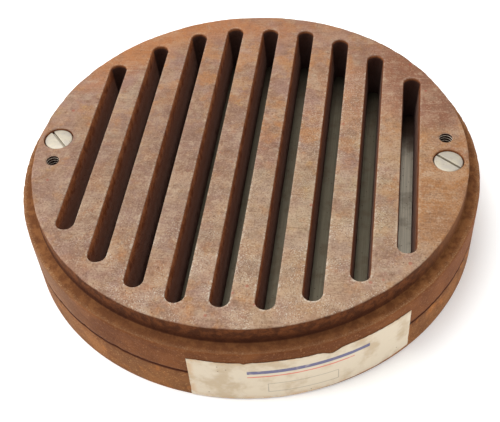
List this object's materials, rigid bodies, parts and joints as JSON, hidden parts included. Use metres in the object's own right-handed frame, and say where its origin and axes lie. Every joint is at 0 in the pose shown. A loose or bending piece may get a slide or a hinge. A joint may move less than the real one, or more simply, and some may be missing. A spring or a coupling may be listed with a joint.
{
  "type": "compressor channel valve",
  "caption": "Round gas compressor valve: a slotted seat screwed to a stop plate, with sprung U-shaped channels that close the seat's parallel ports.",
  "frame": {"origin": "centre of the stop plate's bottom face", "axes": "+Z out of the ported face, +Y along the ports, +X across them"},
  "size_m": [0.1826, 0.1832, 0.0369],
  "materials": {
    "seat_iron": "machined face under a film of brown rust",
    "stop_plate_iron": "turned rim under a film of brown rust",
    "channel_steel": "satin stainless strip, dulled",
    "spring_steel": "smooth spring strip",
    "guide_steel": "sawn and stamped plate",
    "screw_zinc": "dull zinc plate",
    "dowel_steel": "ground",
    "label_paper": "uncoated, stained"
  },
  "bodies": {
    "valve_body": {"valve_seat": "seat_iron", "stop_plate": "stop_plate_iron", "spring_1": "spring_steel", "spring_2": "spring_steel", "spring_3": "spring_steel", "spring_4": "spring_steel", "spring_5": "spring_steel", "spring_6": "spring_steel", "spring_7": "spring_steel", "spring_8": "spring_steel", "spring_9": "spring_steel", "guide_front": "guide_steel", "guide_rear": "guide_steel", "screw_left": "screw_zinc", "screw_right": "screw_zinc", "dowel_left": "dowel_steel", "dowel_right": "dowel_steel", "parts_label": "label_paper"},
    "channel_1": {"channel_1": "channel_steel"},
    "channel_2": {"channel_2": "channel_steel"},
    "channel_3": {"channel_3": "channel_steel"},
    "channel_4": {"channel_4": "channel_steel"},
    "channel_5": {"channel_5": "channel_steel"},
    "channel_6": {"channel_6": "channel_steel"},
    "channel_7": {"channel_7": "channel_steel"},
    "channel_8": {"channel_8": "channel_steel"},
    "channel_9": {"channel_9": "channel_steel"}
  },
  "joints": [
    {"name": "channel_1_lift", "type": "slide", "parent": "valve_body", "child": "channel_1", "axis": [0, 0, -1], "range_m": [0, 0.0025], "stiffness_N_per_m": 2000, "springref_m": -0.002, "deforming": ["spring_1"]},
    {"name": "channel_2_lift", "type": "slide", "parent": "valve_body", "child": "channel_2", "axis": [0, 0, -1], "range_m": [0, 0.0025], "stiffness_N_per_m": 2000, "springref_m": -0.002, "deforming": ["spring_2"]},
    {"name": "channel_3_lift", "type": "slide", "parent": "valve_body", "child": "channel_3", "axis": [0, 0, -1], "range_m": [0, 0.0025], "stiffness_N_per_m": 2000, "springref_m": -0.002, "deforming": ["spring_3"]},
    {"name": "channel_4_lift", "type": "slide", "parent": "valve_body", "child": "channel_4", "axis": [0, 0, -1], "range_m": [0, 0.0025], "stiffness_N_per_m": 2000, "springref_m": -0.002, "deforming": ["spring_4"]},
    {"name": "channel_5_lift", "type": "slide", "parent": "valve_body", "child": "channel_5", "axis": [0, 0, -1], "range_m": [0, 0.0025], "stiffness_N_per_m": 2000, "springref_m": -0.002, "deforming": ["spring_5"]},
    {"name": "channel_6_lift", "type": "slide", "parent": "valve_body", "child": "channel_6", "axis": [0, 0, -1], "range_m": [0, 0.0025], "stiffness_N_per_m": 2000, "springref_m": -0.002, "deforming": ["spring_6"]},
    {"name": "channel_7_lift", "type": "slide", "parent": "valve_body", "child": "channel_7", "axis": [0, 0, -1], "range_m": [0, 0.0025], "stiffness_N_per_m": 2000, "springref_m": -0.002, "deforming": ["spring_7"]},
    {"name": "channel_8_lift", "type": "slide", "parent": "valve_body", "child": "channel_8", "axis": [0, 0, -1], "range_m": [0, 0.0025], "stiffness_N_per_m": 2000, "springref_m": -0.002, "deforming": ["spring_8"]},
    {"name": "channel_9_lift", "type": "slide", "parent": "valve_body", "child": "channel_9", "axis": [0, 0, -1], "range_m": [0, 0.0025], "stiffness_N_per_m": 2000, "springref_m": -0.002, "deforming": ["spring_9"]}
  ]
}
